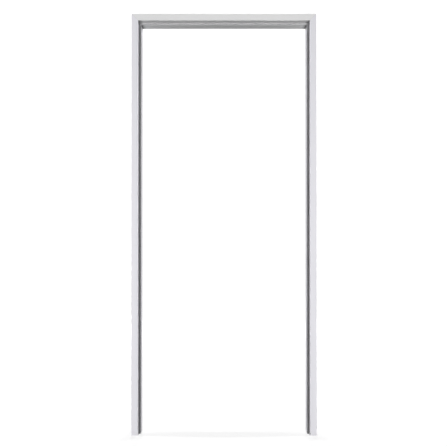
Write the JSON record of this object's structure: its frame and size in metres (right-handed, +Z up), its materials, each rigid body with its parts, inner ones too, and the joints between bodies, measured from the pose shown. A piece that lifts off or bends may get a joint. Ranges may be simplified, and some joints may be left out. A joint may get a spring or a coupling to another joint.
{
  "type": "upvc door frame",
  "caption": "Plain white hollow plastic door frame of jambs and a head with welded mitred corners, a front rebate, a stop with a seal and steel inside, open at the floor.",
  "frame": {"origin": "middle of the frame's footprint on the floor, halfway between the jambs and halfway through the depth", "axes": "+X towards the right jamb seen from the front, +Y from the rebated front towards the back, +Z up"},
  "size_m": [0.9, 0.1, 2.05],
  "materials": {
    "white_plastic": "smooth satin-gloss extruded plastic",
    "grey_seal": "matt grey",
    "galvanised_steel": "galvanised, dull with a faint spangle",
    "zinc_screw": "bright zinc plated"
  },
  "bodies": {
    "root": {"left_jamb": "white_plastic", "right_jamb": "white_plastic", "head": "white_plastic", "left_reinforcement": "galvanised_steel", "right_reinforcement": "galvanised_steel", "head_reinforcement": "galvanised_steel", "left_corner_bracket": "galvanised_steel", "right_corner_bracket": "galvanised_steel", "left_seal": "grey_seal", "right_seal": "grey_seal", "head_seal": "grey_seal", "left_reinforcement_screws": "zinc_screw", "right_reinforcement_screws": "zinc_screw", "head_reinforcement_screws": "zinc_screw", "left_corner_screws": "zinc_screw", "right_corner_screws": "zinc_screw"}
  },
  "joints": []
}
